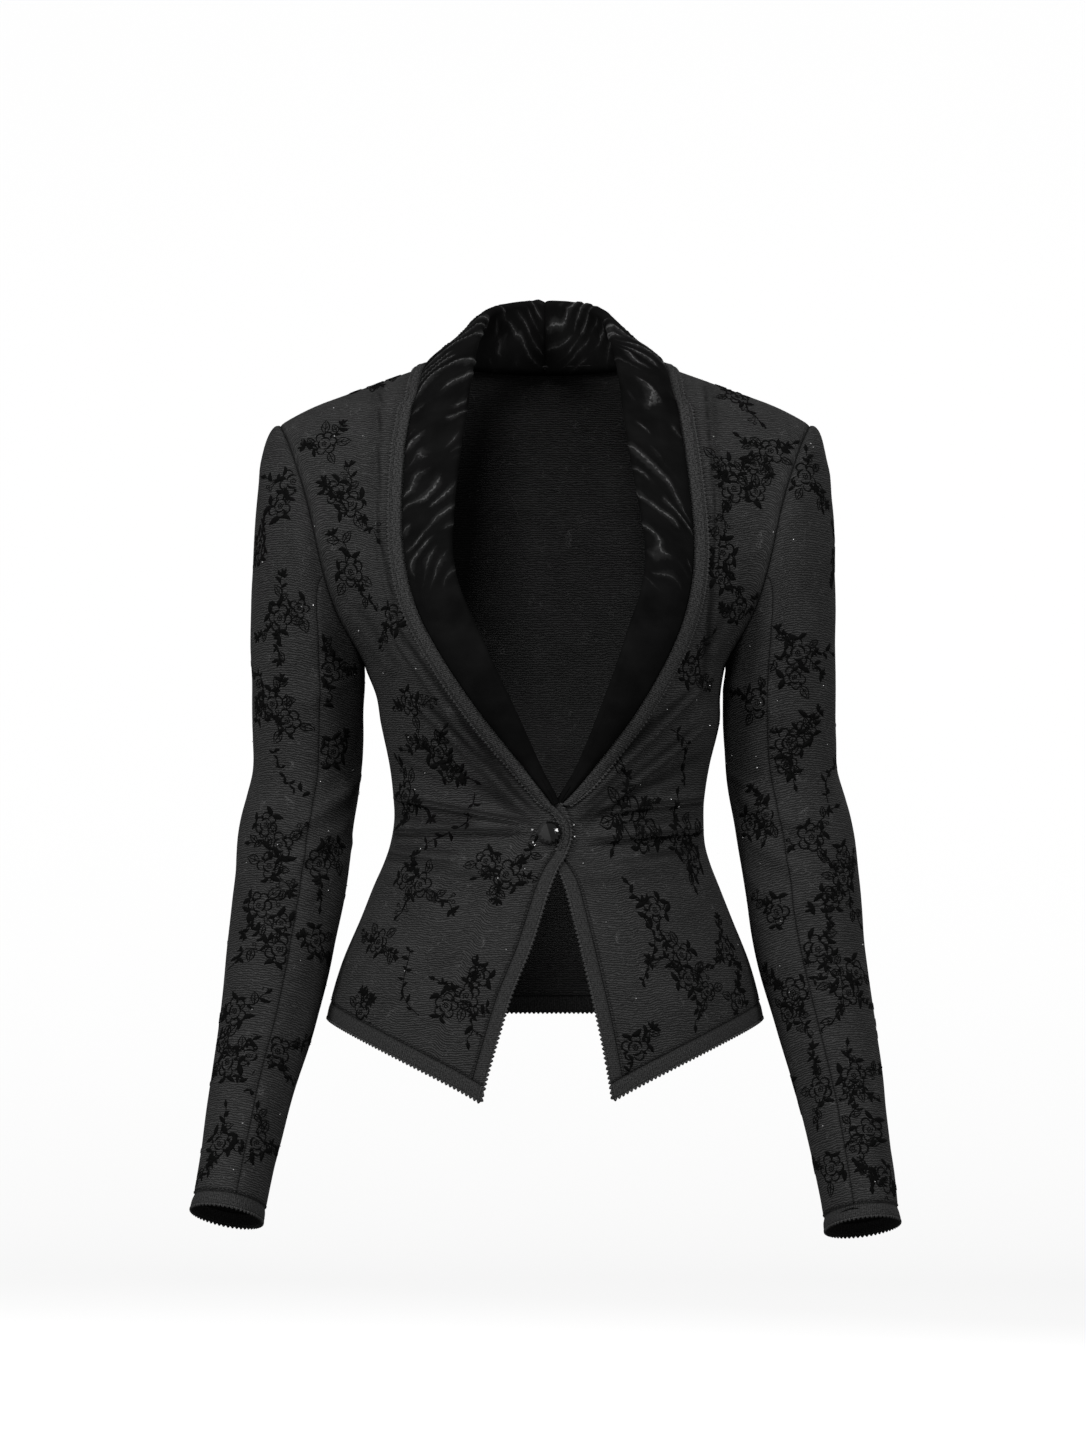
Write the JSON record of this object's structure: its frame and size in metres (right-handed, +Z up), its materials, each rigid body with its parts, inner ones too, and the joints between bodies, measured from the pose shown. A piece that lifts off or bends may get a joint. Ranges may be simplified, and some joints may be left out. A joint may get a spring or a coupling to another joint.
{
  "type": "knit jacket with a shawl collar",
  "caption": "Fitted open-front knit jacket with a velvet shawl collar, long two-piece sleeves and ribbed bands, closed at the waist by a domed button, in its hollow worn form.",
  "frame": {"origin": "on the middle line, where the neck opening meets the line of the shoulder seams: the place where a hanger or the wearer's shoulders hold the jacket", "axes": "+Z up along the body, -Y out of the front, +X towards the wearer's left"},
  "size_m": [0.5474, 0.2504, 0.7347],
  "materials": {
    "knit": "fine charcoal knit with black flocked flower sprays",
    "ribbed_band": "fine rib knit",
    "velvet": "crushed black velvet",
    "jet": "faceted, glossy black"
  },
  "bodies": {
    "root": {"front_right": "knit", "front_band_right": "ribbed_band", "hem_band_front_right": "ribbed_band", "sleeve_under_right": "knit", "sleeve_upper_right": "knit", "cuff_right": "ribbed_band", "collar_right": "velvet", "lapel_band_right": "ribbed_band", "front_left": "knit", "front_band_left": "ribbed_band", "hem_band_front_left": "ribbed_band", "sleeve_under_left": "knit", "sleeve_upper_left": "knit", "cuff_left": "ribbed_band", "collar_left": "velvet", "lapel_band_left": "ribbed_band", "back": "knit", "hem_band_back": "ribbed_band", "button": "jet"}
  },
  "joints": []
}
